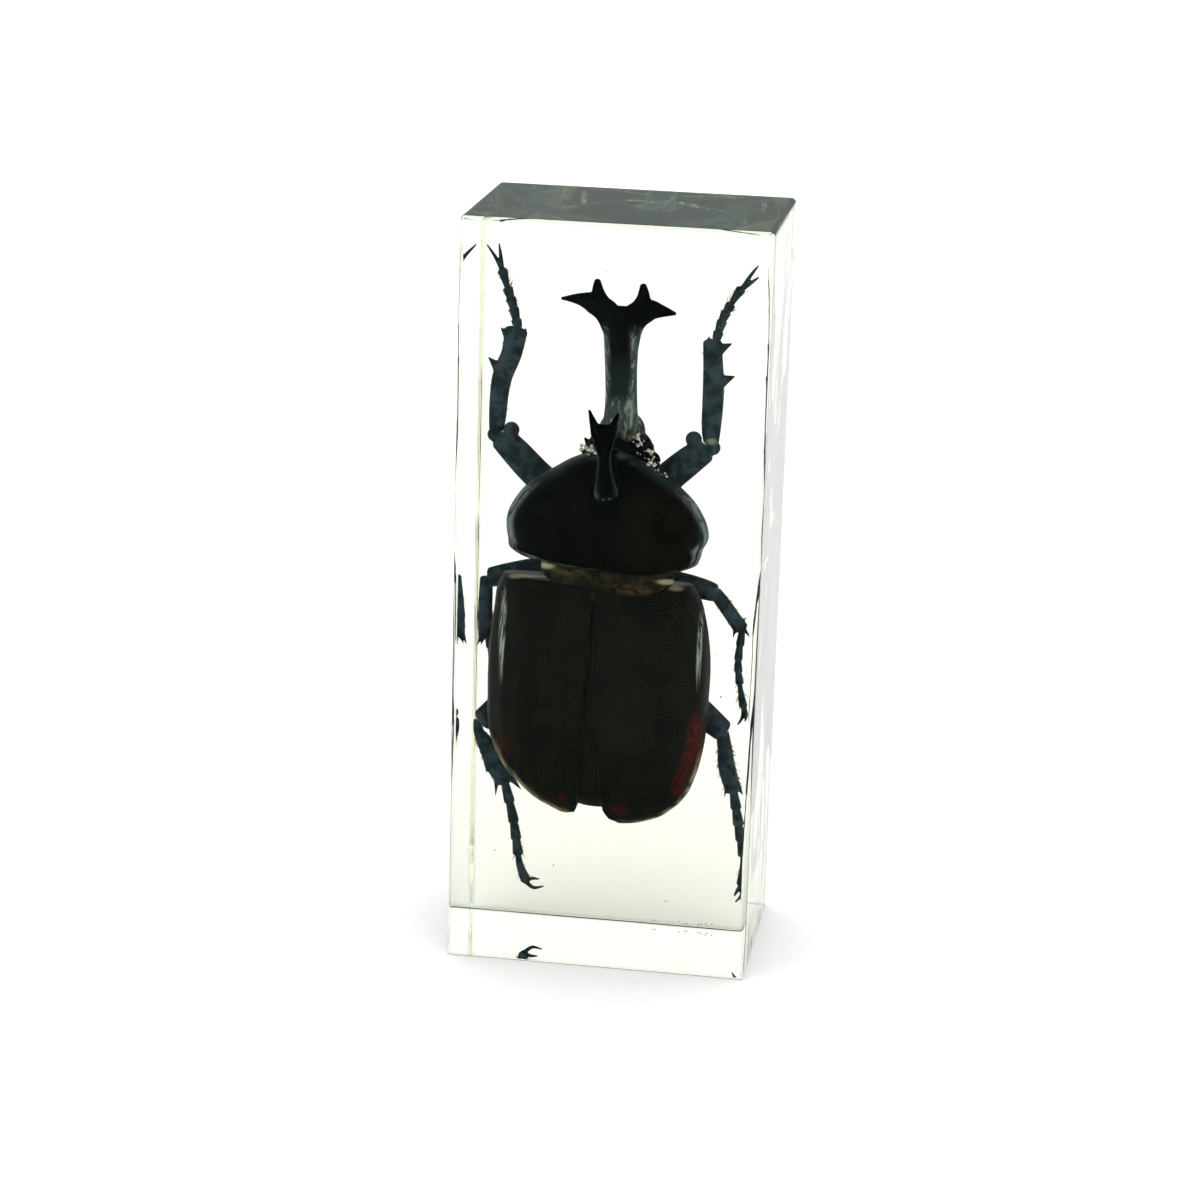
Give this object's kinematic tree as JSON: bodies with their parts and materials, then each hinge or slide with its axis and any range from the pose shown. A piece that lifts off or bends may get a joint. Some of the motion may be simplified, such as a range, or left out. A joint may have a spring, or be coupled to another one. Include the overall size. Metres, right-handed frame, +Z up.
{
  "type": "insect in resin block",
  "caption": "Upright clear resin block with a dried male rhinoceros beetle sealed in it, back to the front, horns up and legs spread; stands on its flat end.",
  "frame": {"origin": "centre of the block's base, on the surface it stands on", "axes": "+Z up along the block and towards the beetle's horns, -Y out of the front face that the beetle's back is turned to, +X to that face's right"},
  "size_m": [0.044, 0.03, 0.11],
  "materials": {
    "resin": "polished clear cast resin",
    "head": "dark chitin, satin gloss",
    "pronotum": "black chitin, satin gloss",
    "scutellum": "olive brown membrane, satin",
    "body": "red brown chitin, satin, finely haired",
    "elytra": "brown black chitin, polished",
    "legs": "black chitin, satin gloss, spined"
  },
  "bodies": {
    "root": {"resin_front": "resin", "resin_back": "resin", "head": "head", "pronotum": "pronotum", "scutellum": "scutellum", "body": "body", "elytron_left": "elytra", "elytron_right": "elytra", "front_left_femur": "legs", "front_left_tibia": "legs", "front_left_tarsus": "legs", "front_right_femur": "legs", "front_right_tibia": "legs", "front_right_tarsus": "legs", "middle_left_femur": "legs", "middle_left_tibia": "legs", "middle_left_tarsus": "legs", "middle_right_femur": "legs", "middle_right_tibia": "legs", "middle_right_tarsus": "legs", "hind_left_femur": "legs", "hind_left_tibia": "legs", "hind_left_tarsus": "legs", "hind_right_femur": "legs", "hind_right_tibia": "legs", "hind_right_tarsus": "legs"}
  },
  "joints": []
}
